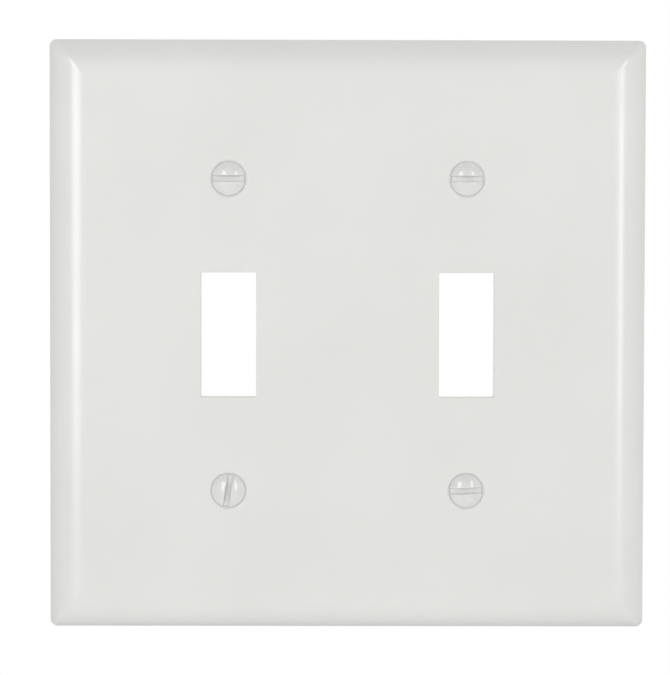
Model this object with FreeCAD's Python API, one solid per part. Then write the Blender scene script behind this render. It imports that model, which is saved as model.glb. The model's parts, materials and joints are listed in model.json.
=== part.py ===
import FreeCAD, Part

import math
import os

from FreeCAD import Placement, Rotation, Vector

# A two-gang wall plate with an opening for a toggle handle in each gang. It is held by four oval-head
# machine screws, and a retaining washer keeps each screw in the plate while the plate is off the wall.
#
# Frame: millimetres, +Z up, the front faces -Y. The origin is the middle of the plane that the rim
# presses against the wall, so the plate lies in -Y and the screws run out through it to +Y.

# ---- Driving sizes: plate --------------------------------------------------------------------------
PLATE_WIDTH = 115.8
PLATE_HEIGHT = 114.3
PLATE_DEPTH = 5.6
PLAN_CORNER_RADIUS = 1.4  # of the outline, seen from the front
RIM_ARC_RADIUS = 6.35  # of the rolled rim between the flat face and the side walls
RIM_ARC_TURN = 70.0  # degrees that the roll turns before the side wall takes over
FRONT_WALL = 2.4
SIDE_WALL = 2.0
INNER_CORNER_RADIUS = 1.2  # of the hollow's corners, seen from behind
INNER_FLOOR_CHAMFER = 0.7  # where the front wall meets the side walls, inside

# ---- Driving sizes: device layout ------------------------------------------------------------------
GANG_SPACING = 46.04
SCREW_SPACING = 60.33
TOGGLE_WIDTH = 10.7
TOGGLE_HEIGHT = 24.1
TOGGLE_CORNER_RADIUS = 0.3
TOGGLE_EDGE_RADIUS = 0.2  # eased front edge of the opening

# ---- Driving sizes: moulded back -------------------------------------------------------------------
BOSS_RADIUS = 4.6
BOSS_STANDOFF = 0.8  # of a screw boss, behind the front wall
COLLAR_WALL = 1.5
COLLAR_STANDOFF = 1.0
RIB_THICKNESS = 1.1
RIB_STANDOFF = 1.2
PIN_MARK_RADIUS = 2.5
PIN_MARK_DEPTH = 0.15
GATE_RADIUS = 1.0  # of the stub left where the plastic was fed in
GATE_TIP_RADIUS = 0.8
GATE_STANDOFF = 0.4
ROOT_RADIUS = 0.4  # fillet where a boss stands on the front wall

# ---- Driving sizes: screw and retaining washer -----------------------------------------------------
THREAD_RADIUS = 1.74
THREAD_PITCH = 0.794
THREAD_DEPTH = 0.47
NECK_RADIUS = 1.475  # of the plain shank that runs from the head to the thread
HEAD_RADIUS = 3.23
HEAD_RIM = 0.10  # of the short cylinder between the cone and the dome
HEAD_CONE_ANGLE = 82.0
DOME_RADIUS = 6.07
SLOT_WIDTH = 1.17
SLOT_DEPTH = 1.25  # from the top of the dome
SCREW_LENGTH = 12.7  # from the top of the cone to the tip
TIP_CHAMFER = 0.5
WASHER_OUTER_RADIUS = 3.175
WASHER_THICKNESS = 0.8
WASHER_EDGE = 0.12

# ---- Clearances --------------------------------------------------------------------------------------
HEAD_SEAT_CLEARANCE = 0.09  # radial, between the head's cone and its countersink
HEAD_SINK = 0.345  # from the flat face down to the top of the head's cone
SHANK_CLEARANCE = 0.235  # radial, thread to the hole in the boss
WASHER_CLEARANCE = 0.07  # radial, washer bore to the plain neck
WASHER_THREAD_GAP = 0.12  # along the screw, washer to the first turn of thread
SCREW_PLAY = 0.67  # along the screw, boss to washer: how far the seated screw can back out
JOIN_OVERLAP = 0.3  # how far a rib, boss or collar runs into what it stands on

# ---- Places worked out from the sizes ----------------------------------------------------------------
FACE_Y = -PLATE_DEPTH
BACK_Y = FACE_Y + FRONT_WALL
BOSS_END_Y = BACK_Y + BOSS_STANDOFF
HOLE_RADIUS = THREAD_RADIUS + SHANK_CLEARANCE
CONE_SLOPE = math.tan(math.radians(HEAD_CONE_ANGLE / 2))
CONE_TOP_Y = FACE_Y + HEAD_SINK
CONE_END_Y = CONE_TOP_Y + (HEAD_RADIUS - NECK_RADIUS) / CONE_SLOPE
SINK_RADIUS = HEAD_RADIUS + HEAD_SEAT_CLEARANCE + HEAD_SINK * CONE_SLOPE
TIP_Y = CONE_TOP_Y + SCREW_LENGTH
DOME_EDGE_Y = CONE_TOP_Y - HEAD_RIM
DOME_RISE = DOME_RADIUS - math.sqrt(DOME_RADIUS**2 - HEAD_RADIUS**2)
DOME_TOP_Y = DOME_EDGE_Y - DOME_RISE
WASHER_FRONT_Y = BOSS_END_Y + SCREW_PLAY
WASHER_BACK_Y = WASHER_FRONT_Y + WASHER_THICKNESS
THREAD_START_Y = WASHER_BACK_Y + WASHER_THREAD_GAP
WASHER_BORE_RADIUS = NECK_RADIUS + WASHER_CLEARANCE
CUT_OVERRUN = 1.0  # how far a cutting tool runs past the face that it opens
TOLERANCE = 1e-4  # within which two places count as the same

LEFT_X = -GANG_SPACING / 2
RIGHT_X = GANG_SPACING / 2
TOP_Z = SCREW_SPACING / 2
BOTTOM_Z = -SCREW_SPACING / 2

# Each screw's place, and how far its slot is turned from level, in degrees anticlockwise from the front.
SCREWS = {
    "top_left": (LEFT_X, TOP_Z, 0.0),
    "top_right": (RIGHT_X, TOP_Z, 0.0),
    "bottom_left": (LEFT_X, BOTTOM_Z, 81.0),
    "bottom_right": (RIGHT_X, BOTTOM_Z, 2.0),
}


def box(x0, x1, y0, y1, z0, z1):
    """A block between two corners."""
    return Part.makeBox(x1 - x0, y1 - y0, z1 - z0, Vector(x0, y0, z0))


def post(radius, y0, y1, x=0.0, z=0.0):
    """A round post along +Y from y0 to y1."""
    return Part.makeCylinder(radius, y1 - y0, Vector(x, y0, z), Vector(0, 1, 0))


def taper(r0, r1, y0, y1, x=0.0, z=0.0):
    """A cone along +Y, of radius r0 at y0 and r1 at y1."""
    return Part.makeCone(r0, r1, y1 - y0, Vector(x, y0, z), Vector(0, 1, 0))


def rounded_block(width, height, radius, y0, y1):
    """A block centred on the Y axis, with its four edges along Y rounded."""
    block = box(-width / 2, width / 2, y0, y1, -height / 2, height / 2)
    along_y = [edge for edge in block.Edges if is_along_y(edge)]
    return block.makeFillet(radius, along_y)


def is_along_y(edge):
    """Whether a straight edge runs along Y."""
    start, end = edge.Vertexes[0].Point, edge.Vertexes[-1].Point
    return math.hypot(end.x - start.x, end.z - start.z) < TOLERANCE


# ---- Wall plate --------------------------------------------------------------------------------------
def rolled_section(half_width):
    """The plate's solid cross-section in the XY plane: flat face, rolled rim, straight side walls."""
    turn = math.radians(RIM_ARC_TURN)
    reach = RIM_ARC_RADIUS * math.sin(turn)
    drop = RIM_ARC_RADIUS * (1 - math.cos(turn))
    flat = half_width - reach
    centre_y = FACE_Y + RIM_ARC_RADIUS

    def on_arc(side, angle):
        return Vector(
            side * (flat + RIM_ARC_RADIUS * math.sin(angle)),
            centre_y - RIM_ARC_RADIUS * math.cos(angle),
            0,
        )

    right_back = Vector(half_width, 0, 0)
    left_back = Vector(-half_width, 0, 0)
    right_side = Vector(half_width, FACE_Y + drop, 0)
    left_side = Vector(-half_width, FACE_Y + drop, 0)
    edges = [
        Part.makeLine(left_back, right_back),
        Part.makeLine(right_back, right_side),
        Part.Arc(right_side, on_arc(1, turn / 2), Vector(flat, FACE_Y, 0)).toShape(),
        Part.makeLine(Vector(flat, FACE_Y, 0), Vector(-flat, FACE_Y, 0)),
        Part.Arc(Vector(-flat, FACE_Y, 0), on_arc(-1, turn / 2), left_side).toShape(),
        Part.makeLine(left_side, left_back),
    ]
    return Part.Face(Part.Wire(edges))


def rolled_bar(half_width, length):
    """The cross-section drawn out along Z, centred on the origin."""
    bar = rolled_section(half_width).extrude(Vector(0, 0, length))
    bar.translate(Vector(0, 0, -length / 2))
    return bar


def outer_shell():
    """The outside of the plate: two rolled bars crossed, so the rims meet in mitres at the corners."""
    upright = rolled_bar(PLATE_WIDTH / 2, PLATE_HEIGHT)
    level = rolled_bar(PLATE_HEIGHT / 2, PLATE_WIDTH)
    level.rotate(Vector(0, 0, 0), Vector(0, 1, 0), 90)
    outline = rounded_block(PLATE_WIDTH, PLATE_HEIGHT, PLAN_CORNER_RADIUS, FACE_Y - CUT_OVERRUN, CUT_OVERRUN)
    return upright.common(level).common(outline)


def inner_hollow():
    """The space behind the front wall, open at the back, with its corners and floor edges rounded."""
    width = PLATE_WIDTH - 2 * SIDE_WALL
    height = PLATE_HEIGHT - 2 * SIDE_WALL
    block = rounded_block(width, height, INNER_CORNER_RADIUS, BACK_Y, CUT_OVERRUN)
    floor = [edge for edge in block.Edges if all(abs(v.Y - BACK_Y) < TOLERANCE for v in edge.Vertexes)]
    return block.makeChamfer(INNER_FLOOR_CHAMFER, floor)


def toggle_hole(x):
    """The opening for one toggle handle, through the front wall and its collar."""
    hole = rounded_block(
        TOGGLE_WIDTH,
        TOGGLE_HEIGHT,
        TOGGLE_CORNER_RADIUS,
        FACE_Y - CUT_OVERRUN,
        CUT_OVERRUN,
    )
    hole.translate(Vector(x, 0, 0))
    return hole


def ease_toggle_edges(plate):
    """Round the front edge of both toggle openings."""
    edges = []
    for edge in plate.Edges:
        bounds = edge.BoundBox
        in_face = bounds.YLength < TOLERANCE and abs(bounds.YMin - FACE_Y) < TOLERANCE
        off_centre = abs(abs(bounds.Center.x) - GANG_SPACING / 2)
        beside = off_centre < TOGGLE_WIDTH / 2 + TOLERANCE
        within = abs(bounds.Center.z) < TOGGLE_HEIGHT / 2 + TOLERANCE
        if in_face and beside and within:
            edges.append(edge)
    return plate.makeFillet(TOGGLE_EDGE_RADIUS, edges)


def toggle_collar(x):
    """The raised wall around one toggle opening, on the back."""
    collar = rounded_block(
        TOGGLE_WIDTH + 2 * COLLAR_WALL,
        TOGGLE_HEIGHT + 2 * COLLAR_WALL,
        TOGGLE_CORNER_RADIUS + COLLAR_WALL,
        BACK_Y - JOIN_OVERLAP,
        BACK_Y + COLLAR_STANDOFF,
    )
    collar.translate(Vector(x, 0, 0))
    return collar


def screw_boss(x, z):
    """One screw boss on the back of the front wall, with a cone at its root."""
    boss = post(BOSS_RADIUS, BACK_Y - JOIN_OVERLAP, BOSS_END_Y, x, z)
    root = taper(BOSS_RADIUS + ROOT_RADIUS, BOSS_RADIUS, BACK_Y, BACK_Y + ROOT_RADIUS, x, z)
    return boss.fuse(root)


def screw_hole(x, z):
    """The clearance hole through a boss, with the countersink for the screw's head."""
    hole = post(HOLE_RADIUS, FACE_Y - CUT_OVERRUN, CUT_OVERRUN, x, z)
    sink_depth = (SINK_RADIUS - HOLE_RADIUS) / CONE_SLOPE
    overrun_radius = SINK_RADIUS + CUT_OVERRUN * CONE_SLOPE
    sink = taper(overrun_radius, HOLE_RADIUS, FACE_Y - CUT_OVERRUN, FACE_Y + sink_depth, x, z)
    return hole.fuse(sink)


def upright_rib(x, z0, z1, standoff=RIB_STANDOFF):
    """A stiffening rib along Z, from z0 to z1."""
    half = RIB_THICKNESS / 2
    return box(x - half, x + half, BACK_Y - JOIN_OVERLAP, BACK_Y + standoff, z0, z1)


def level_rib(z, x0, x1):
    """A stiffening rib along X, from x0 to x1."""
    half = RIB_THICKNESS / 2
    return box(x0, x1, BACK_Y - JOIN_OVERLAP, BACK_Y + RIB_STANDOFF, z - half, z + half)


def back_ribs():
    """The ribs on the back: one between the gangs, and runs that tie bosses, collars and rim together."""
    side_x = PLATE_WIDTH / 2 - SIDE_WALL + JOIN_OVERLAP
    end_z = PLATE_HEIGHT / 2 - SIDE_WALL + JOIN_OVERLAP
    boss_reach = BOSS_RADIUS - JOIN_OVERLAP
    collar_z = TOGGLE_HEIGHT / 2 + COLLAR_WALL - JOIN_OVERLAP
    collar_x = TOGGLE_WIDTH / 2 + COLLAR_WALL - JOIN_OVERLAP
    ribs = [upright_rib(0, -end_z, end_z)]
    for z in (TOP_Z, BOTTOM_Z):
        away = math.copysign(1, z)
        ribs.append(level_rib(z, LEFT_X + boss_reach, RIGHT_X - boss_reach))
        ribs.append(level_rib(z, -side_x, LEFT_X - boss_reach))
        ribs.append(level_rib(z, RIGHT_X + boss_reach, side_x))
        for x in (LEFT_X, RIGHT_X):
            inner = sorted((away * collar_z, z - away * boss_reach))
            outer = sorted((z + away * boss_reach, away * end_z))
            ribs.append(upright_rib(x, *inner, standoff=COLLAR_STANDOFF))
            ribs.append(upright_rib(x, *outer))
    ribs.append(level_rib(0, LEFT_X + collar_x, RIGHT_X - collar_x))
    ribs.append(level_rib(0, -side_x, LEFT_X - collar_x))
    ribs.append(level_rib(0, RIGHT_X + collar_x, side_x))
    return ribs


def pin_mark_places():
    """Where the mould's ejector pins pressed: in the middle of each panel between ribs and rim."""
    inner_x = RIGHT_X / 2
    outer_x = (RIGHT_X + BOSS_RADIUS + PLATE_WIDTH / 2 - SIDE_WALL) / 2
    inner_z = (TOGGLE_HEIGHT / 2 + TOP_Z - BOSS_RADIUS) / 2
    outer_z = (TOP_Z + PLATE_HEIGHT / 2 - SIDE_WALL) / 2
    across = (-outer_x, -inner_x, inner_x, outer_x)
    along = (-outer_z, -inner_z, inner_z, outer_z)
    return [(x, z) for x in across for z in along]


def pin_mark(x, z):
    """The shallow round dent that one ejector pin leaves."""
    return post(PIN_MARK_RADIUS, BACK_Y - PIN_MARK_DEPTH, BACK_Y + PIN_MARK_DEPTH, x, z)


def gate_stub():
    """The stub where the plastic was fed in, between the centre rib and the right gang."""
    x = RIGHT_X / 2
    z = TOP_Z - BOSS_RADIUS
    return taper(GATE_RADIUS, GATE_TIP_RADIUS, BACK_Y - JOIN_OVERLAP, BACK_Y + GATE_STANDOFF, x, z)


def make_wall_plate():
    """The moulded plate: shell, hollow back, bosses, collars, ribs, then every hole."""
    raised = [toggle_collar(LEFT_X), toggle_collar(RIGHT_X), gate_stub()]
    raised += [screw_boss(x, z) for x, z, _ in SCREWS.values()]
    raised += back_ribs()
    plate = outer_shell().cut(inner_hollow()).fuse(raised)
    cuts = [toggle_hole(LEFT_X), toggle_hole(RIGHT_X)]
    cuts += [screw_hole(x, z) for x, z, _ in SCREWS.values()]
    cuts += [pin_mark(x, z) for x, z in pin_mark_places()]
    plate = plate.cut(cuts).removeSplitter()
    return ease_toggle_edges(plate).Solids[0]


# ---- Screws and retaining washers ----------------------------------------------------------------------
def screw_outline():
    """Half the screw's section behind the dome, as (radius, y) corners: cone, neck, thread and tip."""
    flat = THREAD_PITCH / 8
    flank = THREAD_PITCH / 2 - flat
    root_radius = THREAD_RADIUS - THREAD_DEPTH
    chamfer_y = TIP_Y - TIP_CHAMFER
    turns = math.floor((chamfer_y - THREAD_START_Y - flat) / THREAD_PITCH)
    points = [(HEAD_RADIUS, CONE_TOP_Y), (NECK_RADIUS, CONE_END_Y), (NECK_RADIUS, THREAD_START_Y)]
    for turn in range(turns):
        y = THREAD_START_Y + turn * THREAD_PITCH
        points.append((THREAD_RADIUS, y))
        points.append((THREAD_RADIUS, y + flat))
        points.append((root_radius, y + flat + flank))
        points.append((root_radius, y + 2 * flat + flank))
    points.append((THREAD_RADIUS, THREAD_START_Y + turns * THREAD_PITCH))
    points.append((THREAD_RADIUS, chamfer_y))
    points.append((THREAD_RADIUS - TIP_CHAMFER, TIP_Y))
    points.append((0, TIP_Y))
    return points


def make_screw(slot_angle):
    """An oval-head slotted machine screw on the Y axis. Its thread is cut as rings at the real pitch."""
    half_turn = math.asin(HEAD_RADIUS / DOME_RADIUS) / 2
    dome_top = Vector(0, DOME_TOP_Y, 0)
    dome_middle = Vector(
        DOME_RADIUS * math.sin(half_turn),
        DOME_TOP_Y + DOME_RADIUS * (1 - math.cos(half_turn)),
        0,
    )
    dome_edge = Vector(HEAD_RADIUS, DOME_EDGE_Y, 0)
    corners = [dome_edge] + [Vector(radius, y, 0) for radius, y in screw_outline()] + [dome_top]
    edges = [Part.Arc(dome_top, dome_middle, dome_edge).toShape()]
    edges += [Part.makeLine(start, end) for start, end in zip(corners, corners[1:])]
    screw = Part.Face(Part.Wire(edges)).revolve(Vector(0, 0, 0), Vector(0, 1, 0), 360)
    reach = HEAD_RADIUS + CUT_OVERRUN
    slot = box(
        -reach,
        reach,
        DOME_TOP_Y - CUT_OVERRUN,
        DOME_TOP_Y + SLOT_DEPTH,
        -SLOT_WIDTH / 2,
        SLOT_WIDTH / 2,
    )
    screw = screw.cut(slot)
    screw.rotate(Vector(0, 0, 0), Vector(0, -1, 0), slot_angle)
    return screw


def make_retaining_washer():
    """A flat washer around the screw's neck, with its outer edges eased. The thread can't pass its bore."""
    half = [
        (WASHER_BORE_RADIUS, WASHER_FRONT_Y),
        (WASHER_OUTER_RADIUS - WASHER_EDGE, WASHER_FRONT_Y),
        (WASHER_OUTER_RADIUS, WASHER_FRONT_Y + WASHER_EDGE),
        (WASHER_OUTER_RADIUS, WASHER_BACK_Y - WASHER_EDGE),
        (WASHER_OUTER_RADIUS - WASHER_EDGE, WASHER_BACK_Y),
        (WASHER_BORE_RADIUS, WASHER_BACK_Y),
    ]
    corners = [Vector(radius, y, 0) for radius, y in half + half[:1]]
    section = Part.Face(Part.makePolygon(corners))
    return section.revolve(Vector(0, 0, 0), Vector(0, 1, 0), 360)


def place(shape, x, z):
    """Move a piece from the Y axis to a screw's axis, and keep it as one solid."""
    shape.Placement = Placement(Vector(x, 0, z), Rotation()).multiply(shape.Placement)
    return shape.Solids[0]


os.makedirs("parts", exist_ok=True)

make_wall_plate().exportStep("parts/wall_plate.step")
for corner, (screw_x, screw_z, slot_angle) in SCREWS.items():
    place(make_screw(slot_angle), screw_x, screw_z).exportStep(f"parts/screw_{corner}.step")
    place(make_retaining_washer(), screw_x, screw_z).exportStep(f"parts/retaining_washer_{corner}.step")
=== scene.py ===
"""A two-gang wall plate for toggle switches, with the four screws that hold it and their washers.

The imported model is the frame: every place comes from its boxes, and the sizes of edges, thread and
finish that it doesn't hold are fields of the classes below. Lengths are in metres, +Z is up and the
front faces -Y.
"""

import json
import logging
import math
from collections.abc import Callable, Sequence
from dataclasses import dataclass
from enum import Enum

import bmesh
import bpy
from mathutils import Matrix, Vector

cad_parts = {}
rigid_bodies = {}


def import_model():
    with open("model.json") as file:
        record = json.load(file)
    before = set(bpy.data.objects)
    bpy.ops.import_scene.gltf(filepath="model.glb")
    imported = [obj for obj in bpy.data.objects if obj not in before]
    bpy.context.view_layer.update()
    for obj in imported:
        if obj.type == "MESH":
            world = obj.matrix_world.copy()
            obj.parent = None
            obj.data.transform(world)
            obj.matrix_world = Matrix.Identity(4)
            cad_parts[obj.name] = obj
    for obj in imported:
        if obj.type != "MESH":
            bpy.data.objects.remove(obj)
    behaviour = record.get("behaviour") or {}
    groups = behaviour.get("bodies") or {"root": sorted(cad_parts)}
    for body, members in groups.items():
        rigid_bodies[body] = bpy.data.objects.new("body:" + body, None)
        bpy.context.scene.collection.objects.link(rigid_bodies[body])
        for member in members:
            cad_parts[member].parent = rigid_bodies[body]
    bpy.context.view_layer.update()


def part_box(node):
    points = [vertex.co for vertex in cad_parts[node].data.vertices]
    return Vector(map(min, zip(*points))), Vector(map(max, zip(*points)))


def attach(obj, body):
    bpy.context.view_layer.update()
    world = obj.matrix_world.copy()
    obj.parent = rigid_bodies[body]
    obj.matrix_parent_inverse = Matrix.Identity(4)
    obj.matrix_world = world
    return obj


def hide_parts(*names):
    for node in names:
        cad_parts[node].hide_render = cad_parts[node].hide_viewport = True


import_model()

log = logging.getLogger("wall_plate")

MM = 0.001
MERGE_DISTANCE = 2e-7
FINISH_ATTRIBUTE = "finish"
BROAD_FACE_WEIGHT = 100
SPECK_CORE = 0.6
CLEAR_NOISE = (0.35, 0.65)
MIDDLE_NOISE = (0.3, 0.7)
DISC_POINTS = 64
CREST_FLANK = 0.0625
ROOT_FLANK = 0.4375
THREAD_LEAD = 1.6
WASHER_THREAD_GAP = 0.12 * MM
WASHER_POINTS = 96
WASHER_EDGE_STEPS = 4


class Corner(Enum):
    """The four places that hold a screw, by the name that the frame gives them."""

    TOP_LEFT = "top_left"
    TOP_RIGHT = "top_right"
    BOTTOM_LEFT = "bottom_left"
    BOTTOM_RIGHT = "bottom_right"

    @property
    def slot_turn(self) -> float:
        """How far this screw's slot is turned from level, in radians, anticlockwise from the front."""
        turns = {Corner.BOTTOM_LEFT: 81.0, Corner.BOTTOM_RIGHT: 2.0}
        return math.radians(turns.get(self, 0.0))


class Operation(Enum):
    """What a set of solids does to the solid that it meets."""

    ADD = "UNION"
    CUT = "DIFFERENCE"


class Face(Enum):
    """Which of a piece's finishes a patch of its skin takes."""

    SHOW = 0
    HIDDEN = 1


# ---- Node trees ------------------------------------------------------------------------------------


class Wiring:
    """Adds nodes to one tree and joins their sockets."""

    def __init__(self, tree: bpy.types.NodeTree) -> None:
        """Work on this tree."""
        self.tree = tree

    def add(self, kind: str, **settings: object) -> bpy.types.Node:
        """Add one node.

        Args:
            kind: the node's type name.
            settings: properties of the node to set.

        Returns:
            The new node.
        """
        node = self.tree.nodes.new(kind)
        for name, value in settings.items():
            setattr(node, name, value)
        return node

    def feed(self, target: bpy.types.NodeSocket, value: object) -> None:
        """Give a socket its value.

        Args:
            target: the input socket.
            value: another node's output socket, or a constant.
        """
        if isinstance(value, bpy.types.NodeSocket):
            self.tree.links.new(value, target)
        else:
            target.default_value = value

    def math(self, operation: str, *values: object) -> bpy.types.NodeSocket:
        """Add a Math node.

        Args:
            operation: what the node works out.
            values: a socket or a number for each of its inputs.

        Returns:
            The result's socket.
        """
        node = self.add("ShaderNodeMath", operation=operation)
        for socket, value in zip(node.inputs, values):
            self.feed(socket, value)
        return node.outputs[0]

    def ramp(
        self, value: object, source: tuple[float, float], target: tuple[object, object] = (0.0, 1.0)
    ) -> bpy.types.NodeSocket:
        """Map a number from one range to another, held at both ends.

        Args:
            value: the socket to map.
            source: the value that gives target's first number, and the one that gives its second.
            target: a number or a socket for each end of the result.

        Returns:
            The mapped value's socket.
        """
        node = self.add("ShaderNodeMapRange", clamp=True)
        for socket, number in zip(node.inputs, (value, *source, *target)):
            self.feed(socket, number)
        return node.outputs[0]


class ShapeTree(Wiring):
    """A geometry node tree with named inputs, used once for each piece that it shapes."""

    def __init__(self, name: str) -> None:
        """Start an empty tree that takes a mesh and gives a mesh.

        Args:
            name: the tree's name.
        """
        super().__init__(bpy.data.node_groups.new(name, "GeometryNodeTree"))
        self.tree.interface.new_socket("Geometry", in_out="INPUT", socket_type="NodeSocketGeometry")
        self.tree.interface.new_socket("Geometry", in_out="OUTPUT", socket_type="NodeSocketGeometry")
        self.source = self.add("NodeGroupInput")
        self.result = self.add("NodeGroupOutput")

    @property
    def base(self) -> bpy.types.NodeSocket:
        """The mesh that the tree starts from."""
        return self.source.outputs["Geometry"]

    def size_input(self, name: str, kind: str = "NodeSocketFloat") -> bpy.types.NodeSocket:
        """Add a named input and return its socket inside the tree."""
        self.tree.interface.new_socket(name, in_out="INPUT", socket_type=kind)
        return self.source.outputs[name]

    def end(self, geometry: bpy.types.NodeSocket, finishes: Sequence[bpy.types.Material]) -> None:
        """Close the tree: realize instances, then give each finish to the faces that ask for it.

        Args:
            geometry: what the tree has made.
            finishes: the materials, in the order of the faces' slots.
        """
        realize = self.add("GeometryNodeRealizeInstances")
        self.feed(realize.inputs["Geometry"], geometry)
        made = realize.outputs["Geometry"]
        wanted = self.add("GeometryNodeInputNamedAttribute", data_type="INT")
        wanted.inputs["Name"].default_value = FINISH_ATTRIBUTE
        for index, finish in enumerate(finishes):
            same = self.add("FunctionNodeCompare", data_type="INT", operation="EQUAL")
            ints = [socket for socket in same.inputs if socket.type == "INT"]
            self.feed(ints[0], wanted.outputs["Attribute"])
            self.feed(ints[1], index)
            dress = self.add("GeometryNodeSetMaterial")
            self.feed(dress.inputs["Geometry"], made)
            self.feed(dress.inputs["Selection"], same.outputs[0])
            self.feed(dress.inputs["Material"], finish)
            made = dress.outputs["Geometry"]
        self.feed(self.result.inputs["Geometry"], made)

    def shape(self, base: bpy.types.Mesh, sizes: dict[str, object]) -> bpy.types.Mesh:
        """Run the tree on a mesh.

        Args:
            base: the mesh to start from.
            sizes: a value for each named input.

        Returns:
            A plain mesh that holds the result.
        """
        worker = place_object("shaping", base)
        modifier = worker.modifiers.new("shape", "NODES")
        modifier.node_group = self.tree
        for item in self.tree.interface.items_tree:
            if item.in_out == "INPUT" and item.name in sizes:
                modifier[item.identifier] = sizes[item.name]
        return settle(worker)


# ---- Mesh work -------------------------------------------------------------------------------------


def place_object(name: str, mesh: bpy.types.Mesh) -> bpy.types.Object:
    """Put a mesh in the scene.

    Args:
        name: the object's name.
        mesh: the mesh that it holds.

    Returns:
        The object, at the origin.
    """
    piece = bpy.data.objects.new(name, mesh)
    bpy.context.scene.collection.objects.link(piece)
    return piece


def settle(worker: bpy.types.Object) -> bpy.types.Mesh:
    """Turn an object and its modifiers into a plain mesh.

    Args:
        worker: an object that is only a step on the way. It is removed.

    Returns:
        The evaluated mesh.
    """
    graph = bpy.context.evaluated_depsgraph_get()
    graph.update()
    mesh = bpy.data.meshes.new_from_object(worker.evaluated_get(graph))
    bpy.data.objects.remove(worker)
    return mesh


def combine(
    base: bpy.types.Mesh, operation: Operation, solids: Sequence[bpy.types.Mesh]
) -> bpy.types.Mesh:
    """Add solids to a solid, or cut them from it.

    Args:
        base: the closed mesh to change.
        operation: whether the solids are added or cut away.
        solids: closed meshes, which may overlap each other.

    Returns:
        The combined mesh.
    """
    tools = bpy.data.collections.new("tools")
    bpy.context.scene.collection.children.link(tools)
    for solid in solids:
        tools.objects.link(bpy.data.objects.new("tool", solid))
    worker = place_object("worker", base)
    modifier = worker.modifiers.new("combine", "BOOLEAN")
    modifier.operation = operation.value
    modifier.operand_type = "COLLECTION"
    modifier.collection = tools
    modifier.solver = "EXACT"
    modifier.use_self = True
    mesh = settle(worker)
    for tool in list(tools.objects):
        bpy.data.objects.remove(tool)
    bpy.data.collections.remove(tools)
    return mesh


class Skin:
    """Gathers grids and caps of points into one closed mesh."""

    def __init__(self) -> None:
        """Start with no points."""
        self.work = bmesh.new()

    def grid(self, rows: Sequence[Sequence[Vector]], ring: bool = False, face: Face = Face.SHOW) -> None:
        """Lay a sheet of quads over rows of points.

        Args:
            rows: rows with the same number of points each.
            ring: whether each row closes on itself.
            face: the finish that the sheet takes.
        """
        made = [[self.work.verts.new(point) for point in row] for row in rows]
        columns = len(rows[0]) if ring else len(rows[0]) - 1
        for upper, lower in zip(made, made[1:]):
            for i in range(columns):
                j = (i + 1) % len(upper)
                quad = self.work.faces.new((upper[i], upper[j], lower[j], lower[i]))
                quad.material_index = face.value

    def cap(self, loop: Sequence[Vector], face: Face = Face.SHOW) -> None:
        """Close a flat loop of points with one face."""
        made = self.work.faces.new([self.work.verts.new(point) for point in loop])
        made.material_index = face.value

    def close(self, name: str) -> bpy.types.Mesh:
        """Join the sheets where they meet and turn every face outwards.

        Args:
            name: the new mesh's name.

        Returns:
            One closed mesh.
        """
        bmesh.ops.remove_doubles(self.work, verts=self.work.verts, dist=MERGE_DISTANCE)
        bmesh.ops.dissolve_degenerate(self.work, edges=self.work.edges, dist=MERGE_DISTANCE)
        bmesh.ops.recalc_face_normals(self.work, faces=self.work.faces)
        mesh = bpy.data.meshes.new(name)
        self.work.to_mesh(mesh)
        self.work.free()
        finish = mesh.attributes.new(FINISH_ATTRIBUTE, "INT", "FACE")
        for item, polygon in zip(finish.data, mesh.polygons):
            item.value = polygon.material_index
            polygon.material_index = 0
        return mesh


def between(start: float, end: float, steps: int) -> list[float]:
    """Evenly spaced values from start to end, with both of them."""
    return [start + (end - start) * step / steps for step in range(steps + 1)]


def quarter_turn(steps: int) -> list[float]:
    """The angles of a quarter turn in even steps, from 0 to a right angle."""
    return [math.pi / 2 * step / steps for step in range(steps + 1)]


def circle(radius: float, y: float, centre: Vector, angles: Sequence[float]) -> list[Vector]:
    """The points of a circle around a line along Y, at these angles from X towards Z."""
    return [Vector((centre.x + radius * math.cos(a), y, centre.z + radius * math.sin(a))) for a in angles]


def turned_solid(outline: Sequence[tuple[float, float]], centre: Vector, points: int) -> bpy.types.Mesh:
    """A closed solid of revolution.

    Args:
        outline: (radius, y) from one end to the other.
        centre: a point on the axis, which runs along Y.
        points: how many points go round.

    Returns:
        The solid's mesh.
    """
    skin = Skin()
    angles = [math.tau * i / points for i in range(points)]
    rings = [circle(radius, y, centre, angles) for radius, y in outline]
    skin.grid(rings, ring=True)
    skin.cap(rings[0])
    skin.cap(rings[-1])
    return skin.close("turned_solid")


@dataclass(frozen=True)
class RoundedBox:
    """A box outline in the XZ plane with rounded corners."""

    half_width: float
    half_height: float
    radius: float
    corner_steps: int = 14

    def loop(self, y: float, x: float = 0.0) -> list[Vector]:
        """The outline's points, anticlockwise from the front.

        Args:
            y: the plane that the outline lies in.
            x: how far its middle is from the origin along X.

        Returns:
            The same number of points for every outline with these corner steps.
        """
        points = []
        for quarter in range(4):
            side_x = (1, -1, -1, 1)[quarter]
            side_z = (1, 1, -1, -1)[quarter]
            centre_x = x + side_x * (self.half_width - self.radius)
            centre_z = side_z * (self.half_height - self.radius)
            for step in range(self.corner_steps + 1):
                angle = (quarter + step / self.corner_steps) * math.pi / 2
                point_x = centre_x + self.radius * math.cos(angle)
                point_z = centre_z + self.radius * math.sin(angle)
                points.append(Vector((point_x, y, point_z)))
        return points


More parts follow.
